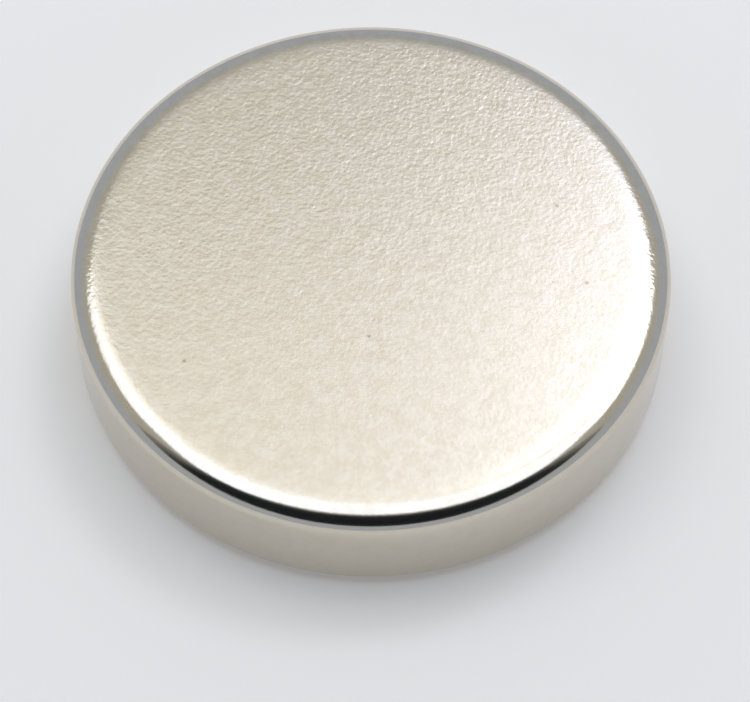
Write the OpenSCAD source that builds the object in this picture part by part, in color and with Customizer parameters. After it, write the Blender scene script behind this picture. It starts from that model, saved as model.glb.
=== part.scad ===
// Disc magnet: a single sintered disc, magnetised through its thickness and
// nickel plated all over, with edges rounded by tumbling. It lies on its lower
// pole face, with the origin at that face's centre and +Z along the magnetic
// axis. Lengths are in millimetres.

/* [Disc] */
// Outer diameter, over the plated wall
disc_diameter = 15.875; // [10:0.125:30]
// Thickness, from pole face to pole face
disc_thickness = 3.175; // [2.4:0.025:8]

/* [Edges] */
// Radius of the round edge between each pole face and the wall
edge_radius = 0.55; // [0.2:0.05:0.9]
// Radius of the soft roll-off that leads from each flat pole face into its edge
rolloff_radius = 1.5; // [1:0.1:3]

/* [Hidden] */

// Colour of the nickel plate under white light
nickel = [0.83, 0.80, 0.74];
// Sides of a full circle in the section, and of the disc turned from it
arc_sides = 96;
disc_sides = 240;

// The roll-off turns through the small angle of a 7-24-25 triangle, about 16
// degrees, whose sine and cosine keep the points where the arcs meet exact
rolloff_sine = 7 / 25;
rolloff_cosine = 24 / 25;

// The roll-off's arc is tangent to the flat face. The edge's arc is tangent to
// the roll-off at its inner end and to the straight wall at its outer end.
disc_radius = disc_diameter / 2;
half_thickness = disc_thickness / 2;
edge_start = disc_radius - edge_radius * (1 - rolloff_sine);
flat_radius = edge_start - rolloff_radius * rolloff_sine;
rolloff_centre = [flat_radius, half_thickness - rolloff_radius];
edge_centre = [
    disc_radius - edge_radius,
    rolloff_centre.y + (rolloff_radius - edge_radius) * rolloff_cosine
];

// Round stretch of the section above the straight wall: a circle, kept between
// two distances from the axis
module arc_stretch(radius, centre, from, to) {
    intersection() {
        translate(centre)
            circle(r = radius, $fn = arc_sides);
        translate([from, edge_centre.y])
            square([to - from, half_thickness - edge_centre.y]);
    }
}

// Section of the disc from its axis out and from mid-thickness up: the stretch
// behind the straight wall, the one under the flat face, and the two arcs
module upper_section() {
    square([disc_radius, edge_centre.y]);
    square([flat_radius, half_thickness]);
    arc_stretch(rolloff_radius, rolloff_centre, flat_radius, edge_start);
    arc_stretch(edge_radius, edge_centre, edge_start, disc_radius);
}

// The whole disc, turned from that section and its mirror image below
module magnet_disc() {
    color(nickel)
        translate([0, 0, half_thickness])
            rotate_extrude($fn = disc_sides) {
                upper_section();
                mirror([0, 1]) upper_section();
            }
}

magnet_disc();
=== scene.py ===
import math

import bpy
import numpy as np
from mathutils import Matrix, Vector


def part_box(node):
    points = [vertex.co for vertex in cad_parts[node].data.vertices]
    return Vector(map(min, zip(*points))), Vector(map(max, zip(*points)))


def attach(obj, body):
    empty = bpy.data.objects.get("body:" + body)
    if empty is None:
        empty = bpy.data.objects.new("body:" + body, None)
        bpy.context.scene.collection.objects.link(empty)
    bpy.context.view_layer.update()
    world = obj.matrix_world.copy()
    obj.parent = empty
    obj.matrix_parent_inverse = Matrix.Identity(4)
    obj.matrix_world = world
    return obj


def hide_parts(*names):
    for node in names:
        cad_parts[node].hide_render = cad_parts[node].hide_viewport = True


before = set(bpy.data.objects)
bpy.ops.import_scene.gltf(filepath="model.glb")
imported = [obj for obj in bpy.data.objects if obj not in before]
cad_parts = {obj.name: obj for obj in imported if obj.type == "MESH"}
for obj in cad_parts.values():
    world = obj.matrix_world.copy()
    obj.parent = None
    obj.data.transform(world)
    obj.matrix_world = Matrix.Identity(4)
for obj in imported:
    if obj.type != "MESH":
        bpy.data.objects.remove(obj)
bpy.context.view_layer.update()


# Magnet disc: one sintered disc of magnet alloy, ground flat on its pole faces and tumbled with
# others until its edges are round, then plated with nickel all over. The plate keeps the fine
# grain of the faces and is smoother and glossier on the worn edges and the wall.

disc_low, disc_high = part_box("magnet_disc")
disc_radius = max(disc_high.x, disc_high.y)
half_thickness = (disc_high.z - disc_low.z) / 2
mid_height = (disc_high.z + disc_low.z) / 2

# The edge's section leaves the flat face in three arcs, each as tipped where it starts as the one
# before it where it ends: a soft roll-off, a tighter shoulder and a short bend into the wall.
edge_width = 0.816e-3
rolloff_radius = 1.5e-3
rolloff_tilt = math.asin(7 / 25)
shoulder_radius = 0.72e-3
shoulder_tilt = math.radians(41.0)
wall_tilt = math.pi / 2
flat_radius = disc_radius - edge_width
rolloff_out = rolloff_radius * math.sin(rolloff_tilt)
shoulder_out = shoulder_radius * (math.sin(shoulder_tilt) - math.sin(rolloff_tilt))
bend_out = disc_radius - flat_radius - rolloff_out - shoulder_out
bend_radius = bend_out / (1 - math.sin(shoulder_tilt))
arc_radius = np.array([rolloff_radius, shoulder_radius, bend_radius])
arc_tilt = np.array([0.0, rolloff_tilt, shoulder_tilt, wall_tilt])

face_cells = 150
arc_rows = (8, 14, 14)
wall_rows = 6

edge_wear_depth = 21e-6
edge_wear_start = flat_radius - 0.32e-3
edge_wear_end = flat_radius + 0.58e-3

unevenness_slope = math.radians(0.13)
unevenness_shortest = 0.28e-3
unevenness_longest = 1.1e-3
unevenness_waves = 90
unevenness_seed = 15875


def rounded_edge(tilt):
    """Distance from the axis and height above mid-thickness where the upper edge has tipped by
    tilt from level: each arc passed adds its radius times the change in sine outwards, and takes
    off its radius times the change in cosine."""
    passed = np.clip(tilt[:, None], arc_tilt[:-1], arc_tilt[1:])
    out = flat_radius + (np.sin(passed) - np.sin(arc_tilt[:-1])) @ arc_radius
    up = half_thickness - (np.cos(arc_tilt[:-1]) - np.cos(passed)) @ arc_radius
    return out, up


def round_face(cells):
    """Even grid on the flat face: a square of cells by cells whose nested squares are drawn as
    nested circles, each point at the angle that its place along its own square's side gives."""
    a, b = np.meshgrid(np.linspace(-1, 1, cells + 1), np.linspace(-1, 1, cells + 1), indexing="ij")
    sideways = np.abs(a) > np.abs(b)
    ring = np.where(sideways, a, b)
    share = np.where(sideways, b, a) / np.where(ring == 0, 1, ring)
    angle = np.where(sideways, share * np.pi / 4, np.pi / 2 - share * np.pi / 4)
    return flat_radius * ring * np.cos(angle), flat_radius * ring * np.sin(angle)


def edge_wear(points, normals):
    """Depth worn off the faces towards their edges: a smooth step from nothing at edge_wear_start
    from the axis to the whole depth at edge_wear_end, in the share that the surface faces up or down."""
    out = np.hypot(points[:, 0], points[:, 1])
    step = np.clip((out - edge_wear_start) / (edge_wear_end - edge_wear_start), 0, 1)
    return edge_wear_depth * step ** 2 * (3 - 2 * step) * np.abs(normals[:, 2])


def unevenness(points):
    """Height of the plate over its ideal form, from 0 down: plane waves with directions and phases
    drawn at random and lengths between the two limits, each as steep as the others, added up."""
    draw = np.random.default_rng(unevenness_seed)
    direction = draw.normal(size=(unevenness_waves, 3))
    direction /= np.linalg.norm(direction, axis=1, keepdims=True)
    length = draw.uniform(unevenness_shortest, unevenness_longest, unevenness_waves)
    phase = draw.uniform(0, 2 * np.pi, unevenness_waves)
    height = math.sqrt(2 / unevenness_waves) * unevenness_slope * length / (2 * np.pi)
    waves = np.cos(points @ (2 * np.pi * direction / length[:, None]).T + phase) @ height
    return waves - waves.max()


# The two faces are round grids, and the rim between them is the edge's section carried round the
# axis. Each row of the rim has its tilt from level: 0 at the upper face, half a turn at the lower.
face_x, face_y = round_face(face_cells)
face_points = (face_cells + 1) ** 2
columns = 4 * face_cells
turn = -np.pi / 4 + np.arange(columns) * 2 * np.pi / columns

upper_tilt = np.interp(np.arange(sum(arc_rows) + 1), np.cumsum((0, *arc_rows)), arc_tilt)
upper_out, upper_up = rounded_edge(upper_tilt)
wall_up = np.linspace(upper_up[-1], -upper_up[-1], wall_rows + 1)[1:-1]
rim_tilt = np.concatenate([upper_tilt, np.full(wall_rows - 1, wall_tilt), np.pi - upper_tilt[::-1]])
rim_out = np.concatenate([upper_out, np.full(wall_rows - 1, disc_radius), upper_out[::-1]])
rim_up = np.concatenate([upper_up, wall_up, -upper_up[::-1]])

rim_between = slice(1, -1)
rim_points = np.stack([
    np.outer(rim_out, np.cos(turn)),
    np.outer(rim_out, np.sin(turn)),
    np.outer(rim_up, np.ones(columns)),
], axis=-1)[rim_between].reshape(-1, 3)
rim_normals = np.stack([
    np.outer(np.sin(rim_tilt), np.cos(turn)),
    np.outer(np.sin(rim_tilt), np.sin(turn)),
    np.outer(np.cos(rim_tilt), np.ones(columns)),
], axis=-1)[rim_between].reshape(-1, 3)
level = np.ones(face_points)
face_points_at = [
    np.stack([face_x.ravel(), face_y.ravel(), side * half_thickness * level], axis=-1)
    for side in (1, -1)
]
face_normals = [np.outer(level, (0, 0, side)) for side in (1, -1)]

points = np.concatenate([face_points_at[0], rim_points, face_points_at[1]])
normals = np.concatenate([face_normals[0], rim_normals, face_normals[1]])
raised = unevenness(points) - edge_wear(points, normals)
points = points + normals * raised[:, None] + (0, 0, mid_height)

upper_index = np.arange(face_points).reshape(face_cells + 1, face_cells + 1)
lower_index = upper_index + face_points + len(rim_points)
rim_index = face_points + np.arange(len(rim_points)).reshape(-1, columns)


def outer_loop(index):
    """The face grid's outermost points, in the order of the rim's columns."""
    return np.concatenate([index[-1, :-1], index[:0:-1, -1], index[0, :0:-1], index[:-1, 0]])


def quads(index):
    """Corners of every cell of a grid of point numbers, turned from its first way to its second."""
    corners = [index[:-1, :-1], index[1:, :-1], index[1:, 1:], index[:-1, 1:]]
    return np.stack(corners, axis=-1).reshape(-1, 4)


rim_grid = np.concatenate([outer_loop(upper_index)[None], rim_index, outer_loop(lower_index)[None]])
rim_grid = np.concatenate([rim_grid, rim_grid[:, :1]], axis=1)
faces = np.concatenate([quads(upper_index), quads(rim_grid), quads(lower_index)[:, ::-1]])

disc_mesh = bpy.data.meshes.new("nickel_disc")
disc_mesh.from_pydata(points.tolist(), [], faces.tolist())
disc_mesh.polygons.foreach_set("use_smooth", np.ones(len(faces), dtype=bool))

# Each point keeps its tilt from level, in degrees: the plate changes from face to rim by it.
point_tilt = np.degrees(np.arccos(np.clip(np.abs(normals[:, 2]), 0, 1)))
tilt_attribute = disc_mesh.attributes.new("tilt", "FLOAT", "POINT")
tilt_attribute.data.foreach_set("value", point_tilt.astype(np.float32))
disc_mesh.update()

nickel_disc = bpy.data.objects.new("nickel_disc", disc_mesh)
bpy.context.scene.collection.objects.link(nickel_disc)


# Nickel plate: warm satin metal. The faces have a fine grain with a few pits and dark specks, which
# handling has rubbed down more on one side and tumbling has taken off the edges and the wall. Its
# colour and gloss drift a little from place to place. Lengths are millimetres, heights micrometres.
warm_nickel = (0.635, 0.583, 0.483, 1.0)
pale_nickel = (0.685, 0.635, 0.553, 1.0)
speck_colour = (0.30, 0.28, 0.25, 1.0)
satin_roughness = 0.287
polished_roughness = 0.13
millimetres_per_metre = 1000
micrometre = 1e-6

# Each span is where a change starts and ends: a pit's in parts of a cell, rubbing's in millimetres
# across the face or from front to back, the clouds' in noise, and the others in degrees of tilt.
grain_per_mm = 8.4
face_grain = 6.4
pits_per_mm = 1.9
pit_depth = 2.4
pit_span = (0.03, 0.12)
rubbed_towards = (0.59, -0.81, 0.0)
face_rub_span = (-5.5, 4.5)
face_rub_shares = (1.2, 0.35)
rolloff_rub_span = (-4.0, 0.0)
rolloff_rub_shares = (0.4, 1.0)
rolloff_span = (1.0, 6.0)
edge_span = (11.0, 22.0)
edge_share = 0.1
clouds_per_mm = 2.5
cloud_span = (0.33, 0.67)
edge_least_cloud = 0.3
edge_most_cloud = 0.7
gloss_span = (4.0, 12.0)
cloud_gloss = (0.98, 1.02)
speck_radius = 0.09
speck_strength = 0.8
speck_places = [(-0.05, -2.37), (5.66, -0.74), (-4.81, -3.12), (4.96, 1.69)]


def shader_node(tree, kind, inputs, **settings):
    """New node in a shader tree: its settings, and its inputs by name or number, each given a value
    or joined to another node's output. A Mix node's two numbers are 2 and 3, its two colours 6 and 7."""
    node = tree.nodes.new(kind)
    for name, value in settings.items():
        setattr(node, name, value)
    for name, value in inputs.items():
        if isinstance(value, bpy.types.NodeSocket):
            tree.links.new(value, node.inputs[name])
        else:
            node.inputs[name].default_value = value
    return node.outputs


def shader_math(tree, operation, first, second):
    """Two numbers put together in a shader tree by one operation."""
    return shader_node(tree, "ShaderNodeMath", {0: first, 1: second}, operation=operation)[0]


def shader_step(tree, value, start, end, before, after):
    """Smooth change in a shader tree from before to after while value goes from start to end."""
    inputs = {"Value": value, "From Min": start, "From Max": end, "To Min": before, "To Max": after}
    return shader_node(tree, "ShaderNodeMapRange", inputs, interpolation_type="SMOOTHSTEP")[0]


nickel_plate = bpy.data.materials.new("nickel_plate")
nickel_plate.use_nodes = True
plate = nickel_plate.node_tree
place = shader_node(plate, "ShaderNodeTexCoord", {})["Object"]
millimetres = shader_node(plate, "ShaderNodeMapping", {
    "Vector": place, "Scale": (millimetres_per_metre,) * 3})[0]
tilt = shader_node(plate, "ShaderNodeAttribute", {}, attribute_name="tilt")["Fac"]

# Relief: grain, less a pit in the middle of each cell. Rubbing has worn it down across the flat face
# and round the front of the roll-off, and tumbling has taken nearly all of it off the edge.
grain = shader_node(plate, "ShaderNodeTexNoise", {
    "Vector": millimetres, "Scale": grain_per_mm, "Detail": 1.0, "Roughness": 0.5})["Fac"]
grain_height = shader_math(plate, "MULTIPLY", grain, face_grain)
cell_middle = shader_node(plate, "ShaderNodeTexVoronoi", {
    "Vector": millimetres, "Scale": pits_per_mm})["Distance"]
pit = shader_step(plate, cell_middle, *pit_span, -pit_depth, 0.0)
across = shader_node(plate, "ShaderNodeVectorMath", {0: millimetres, 1: rubbed_towards},
                     operation="DOT_PRODUCT")["Value"]
left_on_face = shader_step(plate, across, *face_rub_span, *face_rub_shares)
backwards = shader_node(plate, "ShaderNodeSeparateXYZ", {0: millimetres})["Y"]
left_on_rolloff = shader_step(plate, backwards, *rolloff_rub_span, *rolloff_rub_shares)
below_face = shader_step(plate, tilt, *rolloff_span, 0.0, 1.0)
share_left = shader_node(plate, "ShaderNodeMix", {
    "Factor": below_face, 2: left_on_face, 3: left_on_rolloff})[0]
left_on_edge = shader_step(plate, tilt, *edge_span, 1.0, edge_share)
share_left = shader_math(plate, "MULTIPLY", share_left, left_on_edge)
relief = shader_math(plate, "MULTIPLY", shader_math(plate, "ADD", grain_height, pit), share_left)
plate_normal = shader_node(plate, "ShaderNodeBump", {
    "Strength": 1.0, "Distance": micrometre, "Height": relief})["Normal"]

# Colour: soft clouds of warmer and paler nickel, weaker on the edge and the wall, with the specks on
# the upper face.
clouds = shader_node(plate, "ShaderNodeTexNoise", {
    "Vector": millimetres, "Scale": clouds_per_mm, "Detail": 2.0, "Roughness": 0.9})["Fac"]
least_cloud = shader_step(plate, tilt, *edge_span, 0.0, edge_least_cloud)
most_cloud = shader_step(plate, tilt, *edge_span, 1.0, edge_most_cloud)
cloud = shader_step(plate, clouds, *cloud_span, least_cloud, most_cloud)
colour = shader_node(plate, "ShaderNodeMix", {
    "Factor": cloud, 6: warm_nickel, 7: pale_nickel}, data_type="RGBA")[2]
for speck_x, speck_y in speck_places:
    speck_place = (speck_x, speck_y, disc_high.z * millimetres_per_metre)
    away = shader_node(plate, "ShaderNodeVectorMath", {0: millimetres, 1: speck_place},
                       operation="DISTANCE")["Value"]
    speck = shader_step(plate, away, 0.0, speck_radius, speck_strength, 0.0)
    colour = shader_node(plate, "ShaderNodeMix", {
        "Factor": speck, 6: colour, 7: speck_colour}, data_type="RGBA")[2]

# Gloss: satin on the faces and polished on the edge and the wall, a little duller in the pale clouds.
worn_gloss = shader_step(plate, tilt, *gloss_span, satin_roughness, polished_roughness)
drift = shader_step(plate, clouds, *cloud_span, *cloud_gloss)
roughness = shader_math(plate, "MULTIPLY", worn_gloss, drift)

plate_shader = plate.nodes["Principled BSDF"]
plate_shader.inputs["Metallic"].default_value = 1.0
plate.links.new(colour, plate_shader.inputs["Base Color"])
plate.links.new(roughness, plate_shader.inputs["Roughness"])
plate.links.new(plate_normal, plate_shader.inputs["Normal"])
disc_mesh.materials.append(nickel_plate)

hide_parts("magnet_disc")
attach(nickel_disc, "root")


# Studio: a pale floor under the disc and a grey room, with a wide soft panel overhead, a brighter one
# straight above, a key lamp to the right and a strip at either side. A curved dark card on the
# camera's side draws the black line along the rim. Sizes and places are angles seen from the disc.

def towards(azimuth, elevation):
    """Unit vector to a place around the disc: azimuth from the far side to the right, elevation up."""
    a, e = np.radians(azimuth), np.radians(elevation)
    return np.stack([np.sin(a) * np.cos(e), np.cos(a) * np.cos(e), np.sin(e)], axis=-1)


stand_off = 0.30


def soft_lamp(name, half_width, half_depth, brightness, sideways, lean, tint):
    """Rectangular lamp that faces the disc, turned sideways and then leant to the far side from
    straight above, all in degrees: its power is pi times its brightness and its area."""
    lamp = bpy.data.lights.new(name, "AREA")
    lamp.shape = "RECTANGLE"
    lamp.size = 2 * stand_off * math.tan(math.radians(half_width))
    lamp.size_y = 2 * stand_off * math.tan(math.radians(half_depth))
    lamp.energy = math.pi * brightness * lamp.size * lamp.size_y
    lamp.color = tint
    holder = bpy.data.objects.new(name, lamp)
    holder.rotation_mode = "ZYX"
    holder.rotation_euler = (-math.radians(lean), math.radians(sideways), 0)
    holder.location = holder.rotation_euler.to_matrix().col[2] * stand_off
    bpy.context.scene.collection.objects.link(holder)


soft_lamp("wide_panel", half_width=29.4, half_depth=12.3, brightness=0.635,
          sideways=2.5, lean=21.4, tint=(1.0, 0.995, 0.92))
soft_lamp("top_panel", half_width=28.0, half_depth=11.2, brightness=1.17,
          sideways=0.0, lean=0.4, tint=(0.89, 1.0, 1.26))
soft_lamp("right_lamp", half_width=7.8, half_depth=7.2, brightness=3.9,
          sideways=15.7, lean=29.0, tint=(0.92, 0.97, 1.28))
soft_lamp("right_strip", half_width=5.7, half_depth=11.0, brightness=1.20,
          sideways=27.8, lean=21.0, tint=(0.94, 1.0, 1.15))
soft_lamp("left_strip", half_width=9.5, half_depth=11.0, brightness=1.10,
          sideways=-24.0, lean=21.0, tint=(0.94, 1.0, 1.19))

dull_roughness = 0.9


def dull_sheet(name, corners, colour):
    """Sheet through a grid of corners, in one dull colour, that belongs to the studio."""
    down, along = corners.shape[:2]
    mesh = bpy.data.meshes.new(name)
    cells = quads(np.arange(down * along).reshape(down, along))
    mesh.from_pydata(corners.reshape(-1, 3).tolist(), [], cells.tolist())
    paint = bpy.data.materials.new(name)
    paint.use_nodes = True
    paint.node_tree.nodes["Principled BSDF"].inputs["Base Color"].default_value = colour
    paint.node_tree.nodes["Principled BSDF"].inputs["Roughness"].default_value = dull_roughness
    mesh.materials.append(paint)
    sheet = bpy.data.objects.new(name, mesh)
    bpy.context.scene.collection.objects.link(sheet)
    return sheet


# The floor shows a little paler than its paint to the camera and in the metal, and keeps its shadow.
floor_reach = 3.0
floor_colour = (0.95, 0.92, 0.87, 1.0)
floor_glow = 0.12
white = (1.0, 1.0, 1.0, 1.0)
floor_x, floor_y = np.meshgrid([-floor_reach, floor_reach], [-floor_reach, floor_reach], indexing="ij")
floor_corners = np.stack([floor_x, floor_y, np.full((2, 2), disc_low.z)], axis=-1)
floor = dull_sheet("floor", floor_corners, floor_colour)
floor_tree = floor.data.materials[0].node_tree
ray = shader_node(floor_tree, "ShaderNodeLightPath", {})
seen = shader_math(floor_tree, "MAXIMUM", ray["Is Camera Ray"], ray["Is Glossy Ray"])
seen = shader_math(floor_tree, "MAXIMUM", seen, ray["Is Transmission Ray"])
floor_lift = shader_math(floor_tree, "MULTIPLY", seen, floor_glow)
floor_paint = floor_tree.nodes["Principled BSDF"]
floor_paint.inputs["Emission Color"].default_value = white
floor_tree.links.new(floor_lift, floor_paint.inputs["Emission Strength"])

# The card is part of a ball round the disc, on the camera's side: dark in the middle of its turn, and
# grey towards its two ends, where it is also less tall.
card_middle = 180.0
card_half_turn = 82.0
card_dark_half_turn = 64.0
card_low = 35.0
card_end_rise = 1.0
card_top = 75.0
card_end_drop = 14.0
card_columns = 33
card_rows = 12
dark_grey = (0.001, 0.006, 0.011, 1.0)
mid_grey = (0.40, 0.40, 0.40, 1.0)
card_turn, card_share = np.meshgrid(np.linspace(-1, 1, card_columns), np.linspace(0, 1, card_rows))
card_azimuth = card_middle + card_half_turn * card_turn
card_bottom = card_low + card_end_rise * card_turn ** 2
card_elevation = card_bottom + (card_top - card_end_drop * card_turn ** 2 - card_bottom) * card_share
dark_card = dull_sheet("dark_card", stand_off * towards(card_azimuth, card_elevation), dark_grey)
dark_card.visible_camera = False

# The radial gradient gives the part of a whole turn, which is a quarter at the middle of the card.
full_turn = 360
middle_part = 0.25
card_tree = dark_card.data.materials[0].node_tree
card_place = shader_node(card_tree, "ShaderNodeTexCoord", {})["Object"]
card_part = shader_node(card_tree, "ShaderNodeTexGradient", {"Vector": card_place},
                        gradient_type="RADIAL")["Fac"]
from_middle = shader_math(card_tree, "SUBTRACT", card_part, middle_part)
from_middle = shader_math(card_tree, "ABSOLUTE", from_middle, 0.0)
to_end = shader_step(card_tree, from_middle, card_dark_half_turn / full_turn, card_half_turn / full_turn,
                     0.0, 1.0)
card_colour = shader_node(card_tree, "ShaderNodeMix", {
    "Factor": to_end, 6: dark_grey, 7: mid_grey}, data_type="RGBA")[2]
card_tree.links.new(card_colour, card_tree.nodes["Principled BSDF"].inputs["Base Color"])

# The room is pale at the floor's far end, cool on its walls and warmer overhead.
room_colours = [
    (0.00, (0.58, 0.58, 0.58, 1.0)),
    (0.08, (0.46, 0.515, 0.615, 1.0)),
    (0.42, (0.46, 0.515, 0.615, 1.0)),
    (0.68, (0.51, 0.505, 0.46, 1.0)),
]
room = bpy.data.worlds.new("room")
bpy.context.scene.world = room
room.use_nodes = True
room_tree = room.node_tree
room_place = shader_node(room_tree, "ShaderNodeTexCoord", {})["Generated"]
room_height = shader_node(room_tree, "ShaderNodeSeparateXYZ", {0: room_place})["Z"]
room_shade = shader_node(room_tree, "ShaderNodeValToRGB", {0: room_height})[0]
room_stops = room_shade.node.color_ramp.elements
while len(room_stops) < len(room_colours):
    room_stops.new(1.0)
for stop, (stop_height, stop_colour) in zip(room_stops, room_colours):
    stop.position = stop_height
    stop.color = stop_colour
room_tree.links.new(room_shade, room_tree.nodes["Background"].inputs["Color"])


# Camera: a long lens close to the disc, tipped down at it from the front.

camera_elevation = math.radians(58.9)
camera_distance = 79.39e-3
camera_aim = (0.110e-3, -0.905e-3, 0.0)
focal_pixels = 2930.6
picture_width = 750

camera_data = bpy.data.cameras.new("camera")
camera_data.sensor_width = 36.0
camera_data.lens = camera_data.sensor_width * focal_pixels / picture_width
camera_data.clip_start = 0.005
camera_data.clip_end = 20.0
camera = bpy.data.objects.new("camera", camera_data)
camera.location = (
    camera_aim[0],
    camera_aim[1] - camera_distance * math.cos(camera_elevation),
    camera_aim[2] + camera_distance * math.sin(camera_elevation),
)
camera.rotation_euler = (math.pi / 2 - camera_elevation, 0, 0)
bpy.context.scene.collection.objects.link(camera)
bpy.context.scene.camera = camera
bpy.context.scene.view_settings.view_transform = "Standard"
